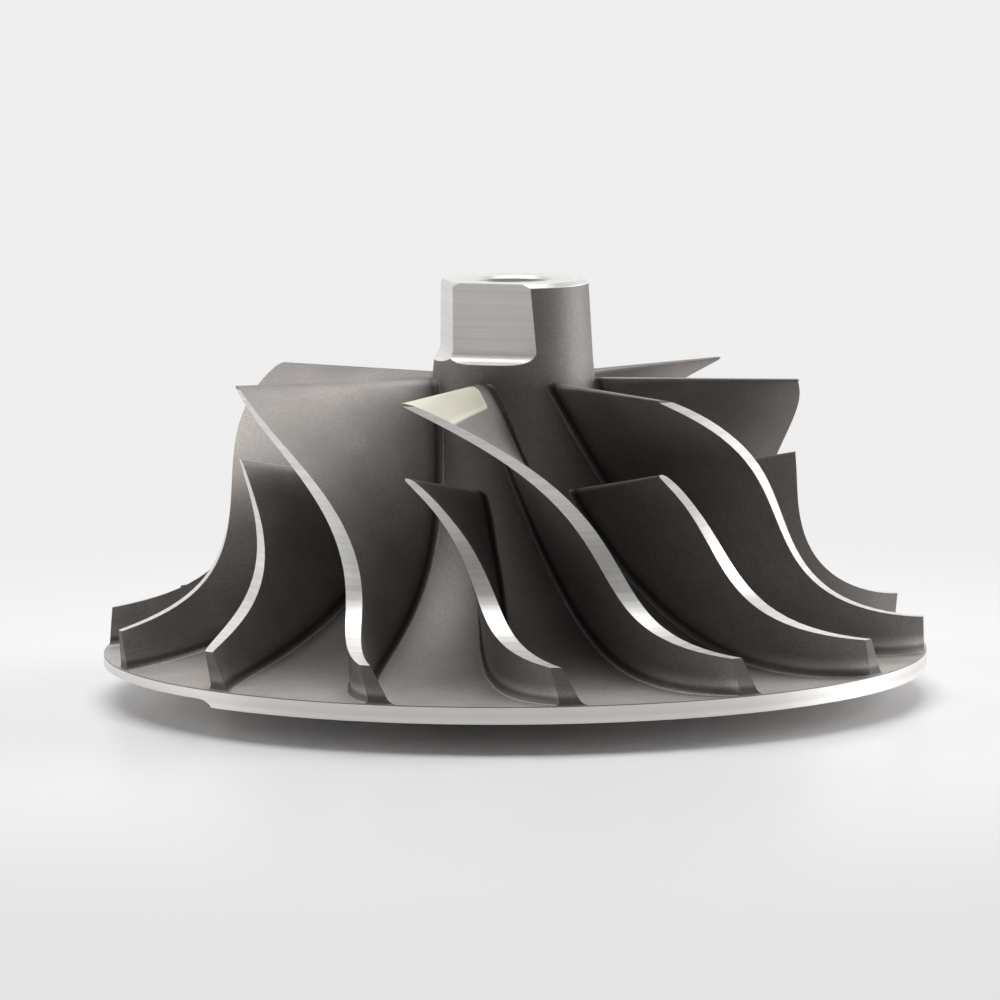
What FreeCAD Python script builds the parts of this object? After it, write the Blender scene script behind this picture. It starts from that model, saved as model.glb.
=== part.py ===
import FreeCAD, Part

import math
import os

import Sketcher

# Centrifugal compressor wheel: a cast wheel of full blades and splitter blades on one hub,
# then bored, faced, turned over its blade tips and balanced by milling the nose and the rim.
# The Z axis is the shaft, the back boss stands on z = 0 and the inlet is on top.

doc = FreeCAD.newDocument("compressor_wheel")

# ---------------------------------------------------------------------------
# Driving sizes, in millimetres and degrees
# ---------------------------------------------------------------------------
SIZES = [
    ("outlet_radius", 39.0, "radius over the rim"),
    ("rim_thickness", 1.6, "height of the rim's turned edge"),
    ("bore_radius", 3.5, "shaft bore"),
    ("bore_chamfer", 0.25, "chamfer at both mouths of the bore"),
    ("boss_radius", 9.5, "back boss, clamped against the thrust collar"),
    ("boss_height", 2.8, "back boss below the back face"),
    ("boss_cove", 2.0, "cove between boss and back face"),
    ("nose_height", 39.5, "nose face above the boss face"),
    ("nose_chamfer", 0.35, "outer chamfer of the nose face"),
    ("nose_draft", 3.0, "casting draft of the nose, degrees"),
    ("nose_radius", 7.49, "nose at its foot, where the hub's sweep starts"),
    ("nose_foot_height", 32.45, "that foot above the boss face"),
    ("hub_sweep_radius", 29.6, "radius of the hub's flow surface in section"),
    ("rim_lip", 1.95, "flat lip between that sweep and the rim edge"),
    ("outlet_step", 0.25, "step from the rim edge in to the blade outlets"),
    ("inlet_radius", 27.05, "radius over the leading edges"),
    ("inlet_height", 30.25, "leading edges above the boss face"),
    ("inlet_handle", 10.0, "axial handle of the tip contour at the inlet"),
    ("outlet_width", 3.45, "blade height at the outlet, above the rim"),
    ("outlet_handle", 15.0, "radial handle of the tip contour at the outlet"),
    ("outlet_rise", 1.9, "rise of that handle"),
    ("full_blades", 7, "full blades, with as many splitters between them"),
    ("first_blade", -111.9, "leading edge of the first full blade, degrees from +X"),
    ("splitter_start", 0.23, "share of the passage that lies ahead of the splitters"),
    ("tip_wrap_early", 51.6, "tip wrap, first control angle"),
    ("tip_wrap_late", 35.4, "tip wrap, second control angle"),
    ("tip_wrap", 52.9, "tip wrap at the outlet"),
    ("root_wrap_early", 58.2, "root wrap, first control angle"),
    ("root_wrap_late", 31.7, "root wrap, second control angle"),
    ("root_wrap", 55.0, "root wrap at the outlet"),
    ("leading_thickness", 0.55, "tip thickness at the leading edge"),
    ("front_thickness", 1.1, "tip thickness, first control value"),
    ("rear_thickness", 2.55, "tip thickness, second control value"),
    ("trailing_thickness", 0.8, "tip thickness at the outlet"),
    ("root_taper", 0.6, "extra thickness at the root"),
    ("root_fillet", 0.5, "fillet between blade and hub"),
    ("leading_round", 0.7, "length of the rounding behind the leading edges"),
    ("cutter_corner", 1.3, "corner radius of the balancing cutter"),
    ("nose_cut_height", 32.0, "floor of the nose cuts"),
    ("nose_cut_reach", 6.02, "axis to the deep nose cut"),
    ("nose_cut_angle", -110.0, "direction of the deep nose cut, degrees from +X"),
    ("side_cut_reach", 6.35, "axis to the shallow nose cut"),
    ("side_cut_angle", -170.0, "direction of the shallow nose cut"),
    ("rim_cut_reach", 27.6, "axis to the rim cut"),
    ("rim_cut_depth", 0.65, "depth of the rim cut, from the back face"),
    ("rim_cut_angle", 180.0, "direction of the rim cut"),
]

sheet = doc.addObject("Spreadsheet::Sheet", "sizes")
for row, (alias, value, note) in enumerate(SIZES, start=1):
    sheet.set(f"A{row}", alias)
    sheet.set(f"B{row}", str(value))
    sheet.set(f"C{row}", note)
    sheet.setAlias(f"B{row}", alias)
doc.recompute()


def size(alias):
    """A driving size, read from the sheet."""
    return float(sheet.get(alias))


# ---------------------------------------------------------------------------
# Revolved sections: closed outlines in the XZ plane, every corner bound to the sheet
# ---------------------------------------------------------------------------
def origin_item(body, role):
    """One of a body's own origin planes or axes."""
    return next(item for item in body.Origin.OriginFeatures if item.Role == role)


class Outline:
    """A closed half-section whose corners and arcs are expressions on the sheet."""

    def __init__(self, name):
        self.body = doc.addObject("PartDesign::Body", name)
        self.sketch = self.body.newObject("Sketcher::SketchObject", name + "_section")
        self.sketch.AttachmentSupport = [(origin_item(self.body, "XZ_Plane"), "")]
        self.sketch.MapMode = "FlatFace"
        self.corners = []

    def corner(self, name, across, up, arc=None, turn=1):
        """Adds a corner; arc is the radius of the edge that leaves it, turn 1 to the left."""
        self.corners.append((name, across, up, arc, turn))

    def value(self, expression):
        return float(self.sketch.evalExpression(expression))

    def constrain(self, kind, place, name, expression):
        number = self.sketch.addConstraint(Sketcher.Constraint(kind, *place, self.value(expression)))
        self.sketch.renameConstraint(number, name)
        self.sketch.setExpression("Constraints." + name, expression)

    def draw(self):
        """Draws the edges, joins them and fixes each corner and arc radius."""
        spots = [FreeCAD.Vector(self.value(c[1]), self.value(c[2]), 0) for c in self.corners]
        ends = []
        for number, (name, across, up, arc, turn) in enumerate(self.corners):
            start = spots[number]
            finish = spots[(number + 1) % len(spots)]
            if arc is None:
                self.sketch.addGeometry(Part.LineSegment(start, finish))
                ends.append((1, 2))
                continue
            chord = finish - start
            reach = self.value(arc)
            sagitta = reach - math.sqrt(reach ** 2 - chord.Length ** 2 / 4)
            aside = FreeCAD.Vector(chord.y, -chord.x, 0).normalize() * turn * sagitta
            middle = (start + finish) * 0.5 + aside
            if turn > 0:
                self.sketch.addGeometry(Part.Arc(start, middle, finish))
                ends.append((1, 2))
            else:
                self.sketch.addGeometry(Part.Arc(finish, middle, start))
                ends.append((2, 1))
        for number in range(len(spots)):
            last = (number - 1) % len(spots)
            self.sketch.addConstraint(
                Sketcher.Constraint("Coincident", last, ends[last][1], number, ends[number][0]))
        for number, (name, across, up, arc, turn) in enumerate(self.corners):
            place = (-1, 1, number, ends[number][0])
            self.constrain("DistanceX", place, name + "_across", across)
            self.constrain("DistanceY", place, name + "_up", up)
            if arc is not None:
                self.constrain("Radius", (number,), name + "_arc", arc)

    def revolve(self):
        """Turns the outline about the shaft axis."""
        self.draw()
        turned = self.body.newObject("PartDesign::Revolution", self.body.Name + "_turned")
        turned.Profile = self.sketch
        turned.ReferenceAxis = (self.sketch, ["V_Axis"])
        turned.Angle = 360
        doc.recompute()
        return self.body

    def extrude(self, width, angle):
        """Pads the outline both ways across XZ and turns it about the shaft axis."""
        self.draw()
        pad = self.body.newObject("PartDesign::Pad", self.body.Name + "_pad")
        pad.Profile = self.sketch
        pad.Midplane = True
        pad.setExpression("Length", width)
        start = FreeCAD.Rotation(FreeCAD.Vector(0, 0, 1), self.value(angle))
        self.body.Placement = FreeCAD.Placement(FreeCAD.Vector(), start)
        self.body.setExpression("Placement.Rotation.Angle", angle)
        doc.recompute()
        return self.body


# ---------------------------------------------------------------------------
# Hub: back boss, back face, rim edge, flow surface and nose, with the shaft bore
# ---------------------------------------------------------------------------
RIM_TOP = "(sizes.boss_height + sizes.rim_thickness)"
CHAMFER_UP = "(sizes.nose_height - sizes.nose_chamfer)"
NOSE_RISE = f"({CHAMFER_UP} - sizes.nose_foot_height)"
NOSE_TOP = f"(sizes.nose_radius - {NOSE_RISE} * tan(sizes.nose_draft * 1 deg))"

hub = Outline("hub")
hub.corner("boss_mouth", "sizes.bore_radius + sizes.bore_chamfer", "0")
hub.corner("boss_edge", "sizes.boss_radius", "0")
hub.corner("cove_foot", "sizes.boss_radius", "sizes.boss_height - sizes.boss_cove", "sizes.boss_cove", -1)
hub.corner("back_face", "sizes.boss_radius + sizes.boss_cove", "sizes.boss_height")
hub.corner("rim_foot", "sizes.outlet_radius", "sizes.boss_height")
hub.corner("rim_crest", "sizes.outlet_radius", RIM_TOP)
hub.corner("sweep_foot", "sizes.outlet_radius - sizes.rim_lip", RIM_TOP, "sizes.hub_sweep_radius", -1)
hub.corner("nose_foot", "sizes.nose_radius", "sizes.nose_foot_height")
hub.corner("nose_shoulder", NOSE_TOP, CHAMFER_UP)
hub.corner("nose_face", f"{NOSE_TOP} - sizes.nose_chamfer", "sizes.nose_height")
hub.corner("nose_mouth", "sizes.bore_radius + sizes.bore_chamfer", "sizes.nose_height")
hub.corner("bore_top", "sizes.bore_radius", "sizes.nose_height - sizes.bore_chamfer")
hub.corner("bore_foot", "sizes.bore_radius", "sizes.bore_chamfer")
hub_body = hub.revolve()

# ---------------------------------------------------------------------------
# Flow passage: hub curve, tip contour and the wrap of the blades between them
# ---------------------------------------------------------------------------
OUTLET_RADIUS = size("outlet_radius")
INLET_HEIGHT = size("inlet_height")
RIM_CREST = size("boss_height") + size("rim_thickness")
BLADE_RADIUS = OUTLET_RADIUS - size("outlet_step")
DRAFT = math.radians(size("nose_draft"))
LIP_RADIUS = OUTLET_RADIUS - size("rim_lip")
NOSE_RADIUS = size("nose_radius")
FOOT_HEIGHT = size("nose_foot_height")
SWEEP = size("hub_sweep_radius")


def sweep_centre():
    """Centre of the arc between the nose's foot and the lip, on its open side."""
    across = LIP_RADIUS - NOSE_RADIUS
    drop = FOOT_HEIGHT - RIM_CREST
    chord = math.hypot(across, drop)
    off = math.sqrt(SWEEP ** 2 - chord ** 2 / 4)
    return (
        (LIP_RADIUS + NOSE_RADIUS) / 2 + off * drop / chord,
        (RIM_CREST + FOOT_HEIGHT) / 2 + off * across / chord,
    )


SWEEP_ACROSS, SWEEP_UP = sweep_centre()
SWEEP_FIRST = math.atan2(SWEEP_UP - FOOT_HEIGHT, SWEEP_ACROSS - NOSE_RADIUS)
SWEEP_LAST = math.atan2(SWEEP_UP - RIM_CREST, SWEEP_ACROSS - LIP_RADIUS)
SWEEP_START = max(SWEEP_FIRST, math.asin((SWEEP_UP - INLET_HEIGHT) / SWEEP))
NOSE_LENGTH = max(0, INLET_HEIGHT - FOOT_HEIGHT) / math.cos(DRAFT)
SWEEP_LENGTH = SWEEP * (SWEEP_LAST - SWEEP_START)
ROOT_LENGTH = NOSE_LENGTH + SWEEP_LENGTH + BLADE_RADIUS - LIP_RADIUS


def bezier(share, values):
    """A cubic Bezier through four control values."""
    rest = 1 - share
    weights = (rest ** 3, 3 * rest ** 2 * share, 3 * rest * share ** 2, share ** 3)
    return sum(weight * value for weight, value in zip(weights, values))


def root_point(share):
    """Radius and height on the nose, the sweep or the lip at a share of the passage, 0 at the inlet."""
    travel = share * ROOT_LENGTH - NOSE_LENGTH
    if travel < 0 and NOSE_LENGTH > 0:
        return NOSE_RADIUS + travel * math.sin(DRAFT), FOOT_HEIGHT - travel * math.cos(DRAFT)
    if travel > SWEEP_LENGTH:
        return LIP_RADIUS + travel - SWEEP_LENGTH, RIM_CREST
    angle = SWEEP_START + travel / SWEEP
    return SWEEP_ACROSS - SWEEP * math.cos(angle), SWEEP_UP - SWEEP * math.sin(angle)


TIP_POLES = [
    (size("inlet_radius"), INLET_HEIGHT),
    (size("inlet_radius"), INLET_HEIGHT - size("inlet_handle")),
    (BLADE_RADIUS - size("outlet_handle"), RIM_CREST + size("outlet_width") + size("outlet_rise")),
    (BLADE_RADIUS, RIM_CREST + size("outlet_width")),
]
TIP_WRAP = [0, size("tip_wrap_early"), size("tip_wrap_late"), size("tip_wrap")]
ROOT_WRAP = [0, size("root_wrap_early"), size("root_wrap_late"), size("root_wrap")]
TIP_THICKNESS = [
    size("leading_thickness"), size("front_thickness"), size("rear_thickness"), size("trailing_thickness")]


def tip_point(share):
    """Radius and height on the tip contour at a share of the passage."""
    return tuple(bezier(share, [pole[axis] for pole in TIP_POLES]) for axis in (0, 1))


def camber_point(share, span):
    """Radius, wrap angle and height on the blade's middle surface; span 0 at the hub."""
    root = root_point(share)
    tip = tip_point(share)
    root_angle = bezier(share, ROOT_WRAP)
    tip_angle = bezier(share, TIP_WRAP)
    return (
        root[0] + span * (tip[0] - root[0]),
        math.radians(root_angle + span * (tip_angle - root_angle)),
        root[1] + span * (tip[1] - root[1]),
    )


def side_point(share, span, half, side):
    """A point on one side of the blade, half its thickness from the middle surface."""
    step = 1e-4
    radius, angle, height = camber_point(share, span)
    ahead = camber_point(share + step, span)
    back = camber_point(share - step, span)
    along = math.hypot(ahead[0] - back[0], ahead[2] - back[2])
    around = radius * (ahead[1] - back[1])
    slant = math.hypot(along, around) / along
    angle += side * half * slant / radius
    return FreeCAD.Vector(radius * math.cos(angle), radius * math.sin(angle), height)


def foot_flare(above):
    """Extra half thickness near the hub: a round fillet, then straight on below the surface."""
    fillet = size("root_fillet")
    lift = fillet - max(above, fillet / 10)
    if lift <= 0:
        return 0
    slope = lift / math.sqrt(fillet ** 2 - lift ** 2)
    round_part = fillet - math.sqrt(fillet ** 2 - lift ** 2)
    return round_part + slope * max(0, fillet / 10 - above)


def nose_rounding(travel):
    """Share of the full thickness at a distance behind the leading edge: a half ellipse."""
    gone = min(1, 0.04 + travel / size("leading_round"))
    return math.sqrt(1 - (1 - gone) ** 2)


def blade_shares(start):
    """Stations along a blade, close together over the rounded leading edge."""
    round_share = size("leading_round") / ROOT_LENGTH
    end = 1 + size("rim_thickness") / 2 / ROOT_LENGTH
    front = [start + round_share * part for part in (0, 0.15, 0.45, 1)]
    steps = 9
    rest = [front[-1] + (end - front[-1]) * step / steps for step in range(1, steps + 1)]
    return front + rest


def blade_levels(height):
    """Heights above the hub of the points across one side of a blade."""
    sink = size("rim_thickness") / 4
    fillet = size("root_fillet")
    foot = [-sink] + [fillet * part for part in (0.1, 0.3, 0.6, 1, 1.5)]
    top = height + size("rim_thickness") / 2
    return foot + [foot[-1] + (top - foot[-1]) * part for part in (0.25, 0.6, 1)]


def mean_travel(rows):
    """Distance along the rows' points, averaged over the rows, as spline parameters."""
    travel = [0.0]
    for before, after in zip(zip(*rows), list(zip(*rows))[1:]):
        step = sum(a.distanceToPoint(b) for a, b in zip(before, after)) / len(rows)
        travel.append(travel[-1] + step)
    return travel


def spline(points, parameters):
    curve = Part.BSplineCurve()
    curve.interpolate(Points=points, Parameters=parameters)
    return curve


def smooth_surface(rows):
    """A surface through a grid of points, splined along its rows and then across them."""
    across = mean_travel(rows)
    along = mean_travel(list(zip(*rows)))
    row_curves = [spline(row, across) for row in rows]
    columns = [spline(list(poles), along) for poles in zip(*[curve.getPoles() for curve in row_curves])]
    poles = [list(line) for line in zip(*[curve.getPoles() for curve in columns])]
    surface = Part.BSplineSurface()
    surface.buildFromPolesMultsKnots(
        poles, columns[0].getMultiplicities(), row_curves[0].getMultiplicities(),
        columns[0].getKnots(), row_curves[0].getKnots(), False, False,
        columns[0].Degree, row_curves[0].Degree)
    return surface


def blade_side(start, side):
    """One side of a blade as a smooth surface, from a share of the passage past the outlet."""
    rows = []
    for share in blade_shares(start):
        height = math.dist(root_point(share), tip_point(share))
        thickness = bezier((share - start) / (1 - start), TIP_THICKNESS)
        rounding = nose_rounding((share - start) * ROOT_LENGTH)
        row = []
        for above in blade_levels(height):
            span = above / height
            half = (thickness + size("root_taper") * (1 - span)) / 2
            row.append(side_point(share, span, half * rounding + foot_flare(above), side))
        rows.append(row)
    return smooth_surface(rows)


def blade_solid(start):
    """A blade sunk in the hub and proud of the tip contour."""
    sides = [blade_side(start, -1), blade_side(start, 1)]
    faces = [surface.toShape() for surface in sides]
    borders = []
    for surface in sides:
        first, last, low, high = surface.bounds()
        borders.append([
            surface.uIso(first).toShape(), surface.uIso(last).toShape(),
            surface.vIso(low).toShape(), surface.vIso(high).toShape()])
    for one, other in zip(*borders):
        faces.append(Part.makeRuledSurface(one, other))
    shell = Part.makeShell(faces)
    shell.sewShape()
    solid = Part.makeSolid(shell)
    if solid.Volume < 0:
        solid.reverse()
    return solid


# ---------------------------------------------------------------------------
# Turned tips: the blades are cut back to one contour of revolution
# ---------------------------------------------------------------------------
def meridian_point(across, up):
    return FreeCAD.Vector(across, 0, up)


tip_curve = Part.BezierCurve()
tip_curve.setPoles([meridian_point(*pole) for pole in TIP_POLES])
inlet_corner = meridian_point(*TIP_POLES[0])
outlet_corner = meridian_point(*TIP_POLES[-1])
inlet_centre = meridian_point(0, INLET_HEIGHT)
base_centre = meridian_point(0, 0)
base_corner = meridian_point(BLADE_RADIUS, 0)
shroud_section = doc.addObject("Part::Feature", "shroud_section")
shroud_section.Shape = Part.Face(Part.Wire([
    Part.makeLine(inlet_centre, inlet_corner), tip_curve.toShape(),
    Part.makeLine(outlet_corner, base_corner), Part.makeLine(base_corner, base_centre),
    Part.makeLine(base_centre, inlet_centre)]))

shroud = doc.addObject("Part::Revolution", "shroud")
shroud.Source = shroud_section
shroud.Axis = (0, 0, 1)
shroud.Angle = 360
shroud.Solid = True


def turned_blade(name, start):
    """One blade, trimmed by the tip contour, the outlet radius and the inlet plane."""
    cast = doc.addObject("Part::Feature", name + "_cast")
    cast.Shape = blade_solid(start)
    turned = doc.addObject("Part::Common", name + "_turned")
    turned.Base = cast
    turned.Tool = shroud
    doc.recompute()
    return turned


full_blade = turned_blade("full_blade", 0)
splitter_blade = turned_blade("splitter_blade", size("splitter_start"))

PITCH = 360 / size("full_blades")
blades = []
for number in range(int(size("full_blades"))):
    for name, model, lag in (("full_blade", full_blade, 0), ("splitter_blade", splitter_blade, PITCH / 2)):
        blade = doc.addObject("Part::Feature", f"{name}_{number + 1}")
        blade.Shape = model.Shape
        turn = FreeCAD.Rotation(FreeCAD.Vector(0, 0, 1), size("first_blade") + lag + number * PITCH)
        blade.Placement = FreeCAD.Placement(FreeCAD.Vector(), turn)
        blades.append(blade)

bladed_hub = doc.addObject("Part::MultiFuse", "bladed_hub")
bladed_hub.Shapes = [hub_body] + blades
doc.recompute()

# ---------------------------------------------------------------------------
# Balancing: two flats milled on the nose and one step milled under the rim
# ---------------------------------------------------------------------------
NOSE_WIDTH = "(2 * sizes.nose_radius)"


def nose_cutter(name, reach, angle):
    """Stock milled off the nose beyond a flat, down to a rounded ledge."""
    cutter = Outline(name)
    floor = "sizes.nose_cut_height"
    cutter.corner("wall_foot", reach, f"{floor} + sizes.cutter_corner", "sizes.cutter_corner")
    cutter.corner("floor", f"{reach} + sizes.cutter_corner", floor)
    cutter.corner("floor_end", f"{reach} + sizes.nose_radius", floor)
    cutter.corner("top_end", f"{reach} + sizes.nose_radius", "sizes.nose_height + sizes.cutter_corner")
    cutter.corner("wall_top", reach, "sizes.nose_height + sizes.cutter_corner")
    return cutter.extrude(NOSE_WIDTH, angle)


def rim_cutter(name, reach, angle):
    """Stock milled off the back face beyond a straight step that runs out at the rim."""
    cutter = Outline(name)
    roof = "(sizes.boss_height + sizes.rim_cut_depth)"
    cutter.corner("wall_foot", reach, f"{roof} - 2 * sizes.cutter_corner")
    cutter.corner("foot_end", "2 * sizes.outlet_radius", f"{roof} - 2 * sizes.cutter_corner")
    cutter.corner("roof_end", "2 * sizes.outlet_radius", roof)
    cutter.corner("roof", f"{reach} + sizes.cutter_corner", roof, "sizes.cutter_corner")
    cutter.corner("wall_top", reach, f"{roof} - sizes.cutter_corner")
    return cutter.extrude("2 * sizes.outlet_radius", angle)


cutters = [
    nose_cutter("deep_nose_cutter", "sizes.nose_cut_reach", "sizes.nose_cut_angle"),
    nose_cutter("side_nose_cutter", "sizes.side_cut_reach", "sizes.side_cut_angle"),
    rim_cutter("rim_cutter", "sizes.rim_cut_reach", "sizes.rim_cut_angle"),
]
wheel = bladed_hub
for cutter in cutters:
    milled = doc.addObject("Part::Cut", "after_" + cutter.Name)
    milled.Base = wheel
    milled.Tool = cutter
    wheel = milled
wheel.Label = "compressor_wheel"
doc.recompute()

# ---------------------------------------------------------------------------
# Check and write
# ---------------------------------------------------------------------------
for item in doc.Objects:
    if "Invalid" in item.State or "Error" in item.State:
        raise RuntimeError(f"{item.Label} failed: {item.State}")
shape = wheel.Shape
if shape.isNull() or not shape.isValid() or len(shape.Solids) != 1:
    raise RuntimeError(f"{wheel.Label} is not one valid solid")

os.makedirs("parts", exist_ok=True)
shape.exportStep(os.path.join("parts", wheel.Label + ".step"))
print(f"{wheel.Label}: {shape.Volume / 1000:.2f} cm3, {len(shape.Faces)} faces")
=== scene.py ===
"""Finishes and lights the compressor wheel: cast aluminium with turned and milled surfaces."""

import math

import bpy
from bpy.props import FloatProperty, FloatVectorProperty
from mathutils import Matrix, Vector


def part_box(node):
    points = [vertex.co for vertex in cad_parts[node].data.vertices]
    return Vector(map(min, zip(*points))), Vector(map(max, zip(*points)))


bl_info = {
    "name": "Compressor Wheel",
    "version": (1, 0, 0),
    "blender": (4, 5, 0),
    "location": "View3D > Sidebar > Wheel",
    "description": "Dresses a cast and machined compressor wheel and sets up its studio",
    "category": "Object",
}

MM = 0.001
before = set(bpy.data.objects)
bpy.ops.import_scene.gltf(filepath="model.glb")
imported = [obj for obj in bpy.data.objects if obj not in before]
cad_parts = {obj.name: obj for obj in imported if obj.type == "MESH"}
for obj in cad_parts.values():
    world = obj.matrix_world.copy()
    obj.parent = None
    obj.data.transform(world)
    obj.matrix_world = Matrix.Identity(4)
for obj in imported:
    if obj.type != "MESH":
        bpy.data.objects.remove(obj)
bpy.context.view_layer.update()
WHEEL = "compressor_wheel"
WHEEL_LOW, WHEEL_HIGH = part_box(WHEEL)
OUTLET_RADIUS = (WHEEL_HIGH.x - WHEEL_LOW.x) / 2
NOSE_HEIGHT = WHEEL_HIGH.z
LEADING_HEIGHT = NOSE_HEIGHT - 9.25 * MM

# The hub's flow surface is an arc in section, which ends at the lip of the rim.
SWEEP_RADIUS = 29.6 * MM
LIP_RADIUS = OUTLET_RADIUS - 1.95 * MM
LIP_HEIGHT = 4.4 * MM

# Machined surfaces: how far each reaches.
TIP_STANDOFF = 2.4 * MM
TIP_TOP = 30.0 * MM
RIM_BOTTOM = 2.6 * MM
RIM_TOP = 4.3 * MM
BACK_TOP = 3.6 * MM
BORE_REACH = 3.9 * MM
SKIN = 0.4 * MM
CUTTER_CORNER = 1.3 * MM
CUTTER_MARGIN = 0.04 * MM
TURNED_SLOPE = 0.12
OUTLET_SLOPE = 0.85

# The ground patch on one leading edge: radii, and reach before and behind the edge.
GROUND_INNER = 8.6 * MM
GROUND_DEEPENS = (8.5 * MM, 13 * MM)
GROUND_ROUNDS = (9.5 * MM, 12.5 * MM)
GROUND_CORNER = 1.2 * MM
GROUND_BEFORE = 0.6 * MM
GROUND_BEHIND = 0.5 * MM
GROUND_WIDENS = 0.25
GROUND_ABOVE = 0.1 * MM
GROUND_SLOPE = 0.03
GROUND_FADE = 0.15 * MM
# Painted highlight along the ground patch's lower edge: distances from the edge where it is full
# and where it has faded.
PAINTED_EDGE_HIGHLIGHT = (0.05 * MM, 0.35 * MM)

# Grain and tool marks.
MOTTLE_SIZE = 6 * MM
STREAK_SIZE = 0.5 * MM
RELIEF_UNIT = 0.02 * MM
RING_RELIEF = 0.12
GROUND_RELIEF = 2

# Painted light and shade: how much lighter or darker the casting and the milled flats are painted
# in places, as shares of their tone.
PAINTED_LIP_LIGHT = 0.75
PAINTED_THROAT_SHADE = 0.34
PAINTED_OUTLET_SHADE = 0.5
PAINTED_FILLET_SHADE = 0.6
PAINTED_BLADE_END_LIGHT_AND_SHADE = 0.5
PAINTED_NOSE_SHADE = 0.85
PAINTED_FLAT_LIGHT = 0.16

# Studio: paper, and each lamp with its setting, place and size.
PAPER_WIDTH = 6.0
PAPER_FRONT = 2.0
PAPER_BACK = 1.6
COVE_RADIUS = 0.8
WALL_HEIGHT = 2.4
COVE_STEPS = 24
PAPER_GLOW = 0.86
# The paper's glow is painted dimmer at the front than at the back, as painted shade.
PAPER_GLOW_FRONT = (0.90, 0.90, 0.90)
PAPER_GLOW_BACK = (1, 1, 1)
SHADOW_REACH = (1.05 * OUTLET_RADIUS, 3.4 * OUTLET_RADIUS)
LAMPS = (
    ("overhead_lamp", "top_power", (-0.05, 0.12, 0.80), (0.8, 0.6)),
    ("left_lamp", "left_power", (-0.70, 0.05, 0.25), (0.3, 0.4)),
    ("right_lamp", "right_power", (0.70, 0.18, 0.24), (0.45, 0.5)),
)
SENSOR_WIDTH = 36


# ---------------------------------------------------------------------------
# Shader maths
# ---------------------------------------------------------------------------
class Field:
    """A number or vector that varies over a surface: one socket, with Python's operators."""

    def __init__(self, finish, socket):
        self.finish = finish
        self.socket = socket

    def maths(self, operation, *values):
        return self.finish.maths(operation, *values)

    def __add__(self, other):
        return self.maths("ADD", self, other)

    def __radd__(self, other):
        return self.maths("ADD", other, self)

    def __sub__(self, other):
        return self.maths("SUBTRACT", self, other)

    def __rsub__(self, other):
        return self.maths("SUBTRACT", other, self)

    def __mul__(self, other):
        return self.maths("MULTIPLY", self, other)

    def __rmul__(self, other):
        return self.maths("MULTIPLY", other, self)

    def __truediv__(self, other):
        return self.maths("DIVIDE", self, other)

    def __rtruediv__(self, other):
        return self.maths("DIVIDE", other, self)

    def __gt__(self, other):
        return self.maths("GREATER_THAN", self, other)

    def __lt__(self, other):
        return self.maths("LESS_THAN", self, other)

    def __abs__(self):
        return self.maths("ABSOLUTE", self)

    def root(self):
        return self.maths("SQRT", self)

    def either(self, other):
        return self.maths("MAXIMUM", self, other)

    def both(self, other):
        return self.maths("MINIMUM", self, other)

    def ramp(self, low, high, start=0.0, end=1.0):
        """Runs smoothly from start to end as the field goes from low to high."""
        made = self.finish.node(
            "ShaderNodeMapRange", {"interpolation_type": "SMOOTHSTEP"},
            {"Value": self, "From Min": low, "From Max": high, "To Min": start, "To Max": end})
        return Field(self.finish, made.outputs["Result"])

    def ramp_between(self, low, high):
        """0 below low and 1 above high, where these vary too."""
        return ((self - low) / (high - low)).either(0.0).both(1.0)


class Finish:
    """A node-based material."""

    def __init__(self, name):
        self.material = bpy.data.materials.new(name)
        self.material.use_nodes = True
        self.tree = self.material.node_tree
        self.tree.nodes.clear()

    def node(self, kind, settings=None, inputs=None):
        """Adds a node: its settings first, then its sockets' values or links."""
        made = self.tree.nodes.new(kind)
        for name, value in (settings or {}).items():
            setattr(made, name, value)
        for name, value in (inputs or {}).items():
            socket = made.inputs[name]
            if isinstance(value, Field):
                self.tree.links.new(value.socket, socket)
            elif isinstance(value, bpy.types.NodeSocket):
                self.tree.links.new(value, socket)
            else:
                socket.default_value = value
        return made

    def maths(self, operation, *values):
        made = self.node("ShaderNodeMath", {"operation": operation}, dict(enumerate(values)))
        return Field(self, made.outputs[0])

    def vector(self, x, y, z):
        made = self.node("ShaderNodeCombineXYZ", None, {"X": x, "Y": y, "Z": z})
        return Field(self, made.outputs[0])

    def split(self, vector):
        made = self.node("ShaderNodeSeparateXYZ", None, {"Vector": vector})
        return [Field(self, output) for output in made.outputs]

    def noise(self, vector, size, detail, roughness):
        """Noise from 0 to 1, with features of the given size."""
        made = self.node("ShaderNodeTexNoise", None, {
            "Vector": vector, "Scale": 1 / size, "Detail": detail, "Roughness": roughness})
        return Field(self, made.outputs[0])

    def blend(self, factor, first, second):
        """A colour between two colours."""
        made = self.node("ShaderNodeMix", {"data_type": "RGBA"}, {
            "Factor": factor, "A": first, "B": second})
        return Field(self, made.outputs["Result"])

    def scaled(self, tone, factor):
        """A colour made lighter or darker."""
        made = self.node("ShaderNodeVectorMath", {"operation": "SCALE"}, {0: tone, "Scale": factor})
        return Field(self, made.outputs[0])

    def bump(self, height, distance):
        """A normal for relief of the given distance where height is 1."""
        made = self.node("ShaderNodeBump", None, {"Height": height, "Distance": distance})
        return Field(self, made.outputs[0])

    def output(self, shader):
        self.node("ShaderNodeOutputMaterial", None, {"Surface": shader})


def colour(values, factor=1.0):
    """A tone as a socket takes it, made lighter or darker by the factor."""
    return (*(min(1.0, value * factor) for value in values), 1.0)


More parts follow.
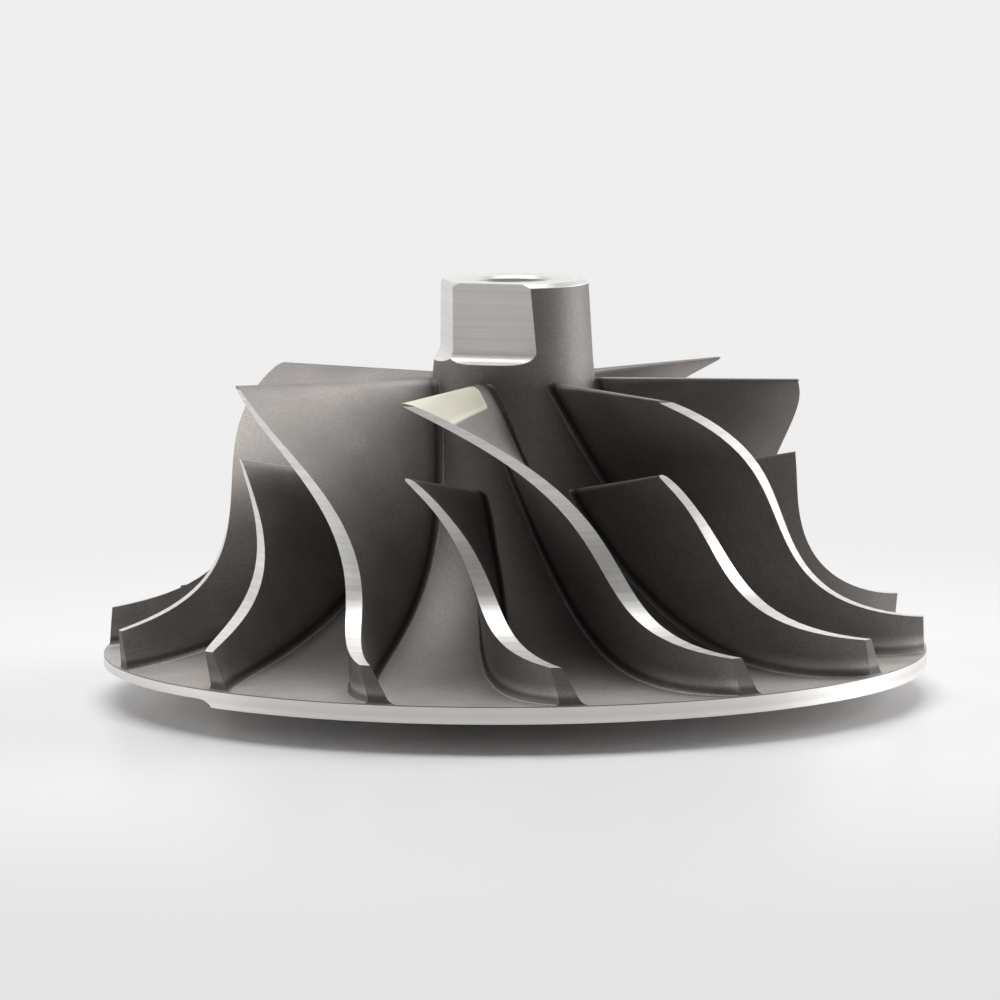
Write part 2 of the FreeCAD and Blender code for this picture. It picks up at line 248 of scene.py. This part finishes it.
# ---------------------------------------------------------------------------
# Settings
# ---------------------------------------------------------------------------
class CastSettings(bpy.types.PropertyGroup):
    tone: FloatVectorProperty(
        name="Cast colour", description="Colour of the grit blasted casting",
        subtype="COLOR", size=3, default=(0.312, 0.29, 0.274), min=0, max=1)
    roughness: FloatProperty(
        name="Roughness", description="Roughness of the casting", default=0.55, min=0, max=1)
    grain: FloatProperty(
        name="Grain", description="Size of the casting's grain",
        subtype="DISTANCE", unit="LENGTH", default=0.22 * MM, min=0.01 * MM)
    relief: FloatProperty(
        name="Relief", description="Depth of the grain",
        subtype="DISTANCE", unit="LENGTH", default=0.012 * MM, min=0)


class MachinedSettings(bpy.types.PropertyGroup):
    tone: FloatVectorProperty(
        name="Machined colour", description="Colour of turned and milled surfaces",
        subtype="COLOR", size=3, default=(0.86, 0.845, 0.82), min=0, max=1)
    roughness: FloatProperty(
        name="Roughness", description="Roughness across the tool marks", default=0.40, min=0, max=1)
    feed: FloatProperty(
        name="Feed", description="Spacing of the tool marks",
        subtype="DISTANCE", unit="LENGTH", default=0.12 * MM, min=0.01 * MM)
    nose_reach: FloatProperty(
        name="Deep flat", description="Axis to the deep flat on the nose",
        subtype="DISTANCE", unit="LENGTH", default=6.02 * MM)
    nose_angle: FloatProperty(
        name="Deep flat direction", description="Direction that the deep flat faces",
        subtype="ANGLE", unit="ROTATION", default=math.radians(-110))
    side_reach: FloatProperty(
        name="Side flat", description="Axis to the shallow flat on the nose",
        subtype="DISTANCE", unit="LENGTH", default=6.35 * MM)
    side_angle: FloatProperty(
        name="Side flat direction", description="Direction that the shallow flat faces",
        subtype="ANGLE", unit="ROTATION", default=math.radians(-170))
    flat_floor: FloatProperty(
        name="Flat floor", description="Height where both flats end",
        subtype="DISTANCE", unit="LENGTH", default=32.0 * MM)
    ground_tone: FloatVectorProperty(
        name="Ground colour", description="Colour of the hand-ground patch on one leading edge",
        subtype="COLOR", size=3, default=(1.0, 0.96, 0.80), min=0, max=1)
    ground_angle: FloatProperty(
        name="Ground blade", description="Direction of the leading edge that was ground",
        subtype="ANGLE", unit="ROTATION", default=math.radians(-111.9))
    ground_depth: FloatProperty(
        name="Ground depth", description="Reach of the ground patch below the leading edge",
        subtype="DISTANCE", unit="LENGTH", default=1.7 * MM)


class StudioSettings(bpy.types.PropertyGroup):
    floor_tone: FloatVectorProperty(
        name="Floor colour", description="Colour of floor and backdrop",
        subtype="COLOR", size=3, default=(0.94, 0.93, 0.935), min=0, max=1)
    top_power: FloatProperty(
        name="Overhead lamp", description="Power of the large lamp overhead",
        subtype="POWER", unit="POWER", default=5.5, min=0)
    left_power: FloatProperty(
        name="Left lamp", description="Power of the lamp on the left",
        subtype="POWER", unit="POWER", default=1.0, min=0)
    right_power: FloatProperty(
        name="Right lamp", description="Power of the lamp on the right",
        subtype="POWER", unit="POWER", default=3.3, min=0)
    sky: FloatProperty(
        name="Surroundings", description="Strength of the room's light", default=0.15, min=0)
    elevation: FloatProperty(
        name="Camera elevation", description="Angle of the camera above the floor",
        subtype="ANGLE", unit="ROTATION", default=math.radians(6.606))
    roll: FloatProperty(
        name="Camera roll", description="Tilt of the camera about its view",
        subtype="ANGLE", unit="ROTATION", default=math.radians(-0.352))
    distance: FloatProperty(
        name="Camera distance", description="Camera to the point that it looks at",
        subtype="DISTANCE", unit="LENGTH", default=0.6441)
    lens: FloatProperty(
        name="Lens", description="Focal length in millimetres", default=244.8, min=1)
    aside: FloatProperty(
        name="Aim aside", description="Point that the camera looks at, along X from the shaft",
        subtype="DISTANCE", unit="LENGTH", default=-1.357 * MM)
    height: FloatProperty(
        name="Aim height", description="Height of the point that the camera looks at",
        subtype="DISTANCE", unit="LENGTH", default=18.487 * MM)


# ---------------------------------------------------------------------------
# Wheel
# ---------------------------------------------------------------------------
def flat_stock(place, reach, angle, floor):
    """1 where a round-cornered cutter that made a flat on the nose has touched."""
    x, y, z = place
    out = x * math.cos(angle) + y * math.sin(angle)
    aside = (reach + CUTTER_CORNER - out).either(0.0)
    below = (floor + CUTTER_CORNER - z).either(0.0)
    return (aside * aside + below * below).root() < CUTTER_CORNER + CUTTER_MARGIN


def ground_patch(place, radius, facing_z, machined):
    """The hand-ground face behind one leading edge, and a bright painted highlight along its lower
    edge.
    """
    x, y, z = place
    angle = machined.ground_angle
    ahead = y * math.cos(angle) - x * math.sin(angle)
    out = x * math.cos(angle) + y * math.sin(angle)
    depth = radius.ramp(*GROUND_DEEPENS, 0, machined.ground_depth)
    low = LEADING_HEIGHT - depth + radius.ramp(*GROUND_ROUNDS, GROUND_CORNER, 0)
    beside = (ahead > -GROUND_BEFORE).both(ahead < out * GROUND_WIDENS + GROUND_BEHIND)
    beside = beside.both(out > GROUND_INNER)
    raised = beside.both(z < LEADING_HEIGHT + GROUND_ABOVE).both(facing_z > GROUND_SLOPE)
    # Painted highlight along the patch's lower edge.
    painted_edge_highlight = abs(z - low).ramp(*PAINTED_EDGE_HIGHLIGHT, 1, 0) * raised
    return z.ramp_between(low - GROUND_FADE, low).both(raised), painted_edge_highlight


def hub_standoff(radius, z):
    """How far a point stands off the hub's flow surface."""
    across = radius - LIP_RADIUS
    up = z - (LIP_HEIGHT + SWEEP_RADIUS)
    return SWEEP_RADIUS - (across * across + up * up).root()


def painted_cast_shading(radius, z, standoff, ahead, outlet):
    """Painted light and shade on the casting: painted light on the hub's lip most; painted shade in
    the fillets, passages, outlets and on the nose; on the blades' ends, painted light on one side
    and painted shade on the other.
    """
    near_hub = standoff.ramp(0.6 * MM, 2.0 * MM, 1, 0)
    lip = radius.ramp(0.70 * OUTLET_RADIUS, 0.94 * OUTLET_RADIUS) * near_hub
    painted_throat = radius.ramp(0.6 * OUTLET_RADIUS, 0.88 * OUTLET_RADIUS, 1, 0) * near_hub
    painted_fillet = standoff.ramp(0.02 * MM, 0.10 * MM) * standoff.ramp(0.5 * MM, 1.0 * MM, 1, 0)
    painted_blade_ends = radius.ramp(0.6 * OUTLET_RADIUS, 0.9 * OUTLET_RADIUS) * (1 - near_hub)
    below_nose = z.ramp(LEADING_HEIGHT - 1 * MM, LEADING_HEIGHT + 2 * MM, 1, 0)
    # Painted light and shade multiply together; above the leading edge the nose takes one even
    # painted shade instead.
    shade = (1 + lip * PAINTED_LIP_LIGHT - painted_throat * PAINTED_THROAT_SHADE) * (1 - outlet * PAINTED_OUTLET_SHADE)
    shade = shade * (1 - painted_fillet * PAINTED_FILLET_SHADE) * (1 + painted_blade_ends * ahead * PAINTED_BLADE_END_LIGHT_AND_SHADE)
    return (shade - PAINTED_NOSE_SHADE) * below_nose + PAINTED_NOSE_SHADE


def wheel_finish(cast, machined):
    """Cast skin everywhere but on the turned tips, rim, faces and bore and on the milled flats."""
    finish = Finish("wheel_aluminium")
    place = Field(finish, finish.node("ShaderNodeTexCoord").outputs["Object"])
    facing = Field(finish, finish.node("ShaderNodeNewGeometry").outputs["True Normal"])
    x, y, z = finish.split(place)
    facing_x, facing_y, facing_z = finish.split(facing)
    radius = (x * x + y * y).root()
    ahead = (facing_y * x - facing_x * y) / radius
    outward = (facing_x * x + facing_y * y) / radius
    standoff = hub_standoff(radius, z)

    # What stands well clear of the hub and faces along the shaft or away from it is a turned tip.
    near_rim = radius > OUTLET_RADIUS - SKIN
    outlet = near_rim.both(outward > OUTLET_SLOPE)
    tips = (abs(ahead) < TURNED_SLOPE).both(standoff > TIP_STANDOFF).both(z < TIP_TOP)
    tips = tips.both(1 - outlet)
    rim = (z < RIM_TOP).both(z > RIM_BOTTOM).both(near_rim)
    flats = flat_stock(
        (x, y, z), machined.nose_reach, machined.nose_angle, machined.flat_floor)
    flats = flats.either(flat_stock(
        (x, y, z), machined.side_reach, machined.side_angle, machined.flat_floor))
    bright = tips.either(rim).either(z < BACK_TOP).either(z > NOSE_HEIGHT - SKIN)
    bright = bright.either(radius < BORE_REACH).either(flats)

    # Casting: blasted grain over a faint mottle.
    grain = finish.noise(place, cast.grain, 2.0, 0.55)
    mottle = finish.noise(place, MOTTLE_SIZE, 3.0, 0.6)
    cast_tone_and_shading = finish.blend(
        mottle.ramp(0.3, 0.7), colour(cast.tone, 0.9), colour(cast.tone, 1.1))
    cast_tone_and_shading = finish.blend(grain.ramp(0.35, 0.65) * 0.5, cast_tone_and_shading, colour(cast.tone, 0.7))
    # Painted light and shade scale the casting's tone.
    cast_tone_and_shading = finish.scaled(cast_tone_and_shading, painted_cast_shading(radius, z, standoff, ahead, outlet))

    # Machining: fine rings about the shaft, and marks that run level along the flats.
    level = 1 - flats
    marks = finish.vector(radius * level, z, radius * level * 0.3)
    rings = finish.noise(marks, machined.feed, 1.0, 0.5)
    streaks = finish.noise(marks, STREAK_SIZE, 3.0, 0.7)
    machined_tone_and_light = finish.blend(
        streaks.ramp(0.3, 0.7), colour(machined.tone, 0.86), colour(machined.tone))
    # Painted light: the milled flats are painted lighter than the other machined surfaces.
    machined_tone_and_light = finish.scaled(machined_tone_and_light, 1 + flats * PAINTED_FLAT_LIGHT)

    ground, painted_edge_highlight = ground_patch((x, y, z), radius, facing_z, machined)
    ground = ground * (1 - bright)
    # Painted highlight: the patch is painted lighter along its lower edge.
    ground_tone = finish.blend(
        painted_edge_highlight, colour(machined.ground_tone, 0.85), colour(machined.ground_tone))

    tone = finish.blend(bright, cast_tone_and_shading, machined_tone_and_light)
    tone = finish.blend(ground, tone, ground_tone)
    smooth = bright.either(ground)
    finer = machined.roughness - cast.roughness + (streaks - 0.5) * 0.2
    roughness = smooth * finer + cast.roughness + (mottle - 0.5) * 0.1
    height = grain * (1 - smooth) * (cast.relief / RELIEF_UNIT)
    height = height + rings * bright * RING_RELIEF - ground * GROUND_RELIEF
    metal = finish.node("ShaderNodeBsdfPrincipled", None, {
        "Base Color": tone,
        "Metallic": 0.85 - bright * 0.1 - (ground + flats) * 0.3,
        "Roughness": roughness,
        "Normal": finish.bump(height, RELIEF_UNIT)})
    finish.output(metal.outputs[0])
    return finish.material


class WHEEL_OT_dress_wheel(bpy.types.Operator):
    """Gives the wheel its cast skin and its turned and milled surfaces."""

    bl_idname = "wheel.dress_wheel"
    bl_label = "Dress wheel"

    def execute(self, context):
        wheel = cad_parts[WHEEL]
        scene = context.scene
        material = wheel_finish(scene.wheel_cast, scene.wheel_machined)
        for slot in wheel.material_slots:
            slot.material = material
        return {"FINISHED"}


# ---------------------------------------------------------------------------
# Studio
# ---------------------------------------------------------------------------
def backdrop_mesh():
    """A floor that turns up into a wall through a wide cove."""
    cove_start = PAPER_BACK - COVE_RADIUS
    profile = [(-PAPER_FRONT, 0.0), (cove_start, 0.0)]
    for step in range(1, COVE_STEPS + 1):
        turn = math.pi / 2 * step / COVE_STEPS
        profile.append((
            cove_start + COVE_RADIUS * math.sin(turn), COVE_RADIUS - COVE_RADIUS * math.cos(turn)))
    profile.append((PAPER_BACK, WALL_HEIGHT))
    points = [(side * PAPER_WIDTH / 2, along, up) for along, up in profile for side in (-1, 1)]
    faces = [(2 * n, 2 * n + 1, 2 * n + 3, 2 * n + 2) for n in range(len(profile) - 1)]
    mesh = bpy.data.meshes.new("backdrop")
    mesh.from_pydata(points, [], faces)
    for polygon in mesh.polygons:
        polygon.use_smooth = True
    return mesh


def backdrop_finish(studio):
    """White to the camera and in reflections, and still dark where the wheel shades it."""
    finish = Finish("studio_paper")
    matt = finish.node("ShaderNodeBsdfPrincipled", None, {
        "Base Color": colour(studio.floor_tone), "Roughness": 0.35})
    path = finish.node("ShaderNodeLightPath")
    seen = Field(finish, path.outputs["Is Camera Ray"])
    mirrored = Field(finish, path.outputs["Is Glossy Ray"])
    refracted = Field(finish, path.outputs["Is Transmission Ray"])
    x, y, z = finish.split(Field(finish, finish.node("ShaderNodeTexCoord").outputs["Object"]))
    direct = seen.either(mirrored * y.ramp(-0.4, -0.1)).either(refracted)
    # Painted shade: the glow is dimmer towards the front.
    glow_tone = finish.blend(
        y.ramp(-0.2, 0.1), colour(PAPER_GLOW_FRONT), colour(PAPER_GLOW_BACK))
    glow = finish.node("ShaderNodeEmission", None, {"Color": glow_tone, "Strength": PAPER_GLOW})
    away = (x * x + y * y).root().ramp(*SHADOW_REACH)
    mix = finish.node("ShaderNodeMixShader", None, {
        0: direct * away, 1: matt.outputs[0], 2: glow.outputs[0]})
    finish.output(mix.outputs[0])
    return finish.material


def add_lamp(name, power, place, target, size):
    """Adds a soft rectangular lamp that shines at the target."""
    lamp = bpy.data.lights.new(name, "AREA")
    lamp.shape = "RECTANGLE"
    lamp.size, lamp.size_y = size
    lamp.energy = power
    item = bpy.data.objects.new(name, lamp)
    item.location = place
    item.rotation_euler = (Vector(place) - Vector(target)).to_track_quat("Z", "Y").to_euler()
    bpy.context.scene.collection.objects.link(item)


class WHEEL_OT_set_studio(bpy.types.Operator):
    """Adds floor and backdrop, lamps, surroundings and camera."""

    bl_idname = "wheel.set_studio"
    bl_label = "Set up studio"

    def execute(self, context):
        scene = context.scene
        studio = scene.wheel_studio

        backdrop = bpy.data.objects.new("backdrop", backdrop_mesh())
        backdrop.data.materials.append(backdrop_finish(studio))
        scene.collection.objects.link(backdrop)

        aim = Vector((studio.aside, 0, studio.height))
        for name, setting, place, size in LAMPS:
            add_lamp(name, getattr(studio, setting), place, aim, size)

        world = bpy.data.worlds.new("studio_room")
        world.use_nodes = True
        room = world.node_tree.nodes["Background"]
        room.inputs["Color"].default_value = (1, 1, 1, 1)
        room.inputs["Strength"].default_value = studio.sky
        scene.world = world

        data = bpy.data.cameras.new("studio_camera")
        data.lens = studio.lens
        data.sensor_width = SENSOR_WIDTH
        data.clip_start = 0.01
        data.clip_end = 20
        camera = bpy.data.objects.new("studio_camera", data)
        back = Vector((0, -math.cos(studio.elevation), math.sin(studio.elevation)))
        level = Vector((1, 0, 0))
        upright = back.cross(level)
        right = level * math.cos(studio.roll) + upright * math.sin(studio.roll)
        up = back.cross(right)
        turn = Matrix((right, up, back)).transposed().to_4x4()
        camera.matrix_world = Matrix.Translation(aim + back * studio.distance) @ turn
        scene.collection.objects.link(camera)
        scene.camera = camera
        scene.view_settings.view_transform = "Standard"
        return {"FINISHED"}


class WHEEL_PT_panel(bpy.types.Panel):
    """Lists the wheel's settings, with buttons to dress the wheel and set up the studio."""

    bl_label = "Compressor Wheel"
    bl_idname = "WHEEL_PT_panel"
    bl_space_type = "VIEW_3D"
    bl_region_type = "UI"
    bl_category = "Wheel"

    def draw(self, context):
        scene = context.scene
        for title, settings, operator in (
                ("Casting", scene.wheel_cast, None),
                ("Machining", scene.wheel_machined, WHEEL_OT_dress_wheel),
                ("Studio", scene.wheel_studio, WHEEL_OT_set_studio)):
            box = self.layout.box()
            box.label(text=title)
            for name in settings.__annotations__:
                box.prop(settings, name)
            if operator:
                box.operator(operator.bl_idname)


CLASSES = (
    CastSettings, MachinedSettings, StudioSettings,
    WHEEL_OT_dress_wheel, WHEEL_OT_set_studio, WHEEL_PT_panel,
)


def register():
    for item in CLASSES:
        bpy.utils.register_class(item)
    bpy.types.Scene.wheel_cast = bpy.props.PointerProperty(type=CastSettings)
    bpy.types.Scene.wheel_machined = bpy.props.PointerProperty(type=MachinedSettings)
    bpy.types.Scene.wheel_studio = bpy.props.PointerProperty(type=StudioSettings)


def unregister():
    del bpy.types.Scene.wheel_studio
    del bpy.types.Scene.wheel_machined
    del bpy.types.Scene.wheel_cast
    for item in reversed(CLASSES):
        bpy.utils.unregister_class(item)


def main():
    register()
    bpy.ops.wheel.dress_wheel()
    bpy.ops.wheel.set_studio()


if __name__ == "__main__":
    main()
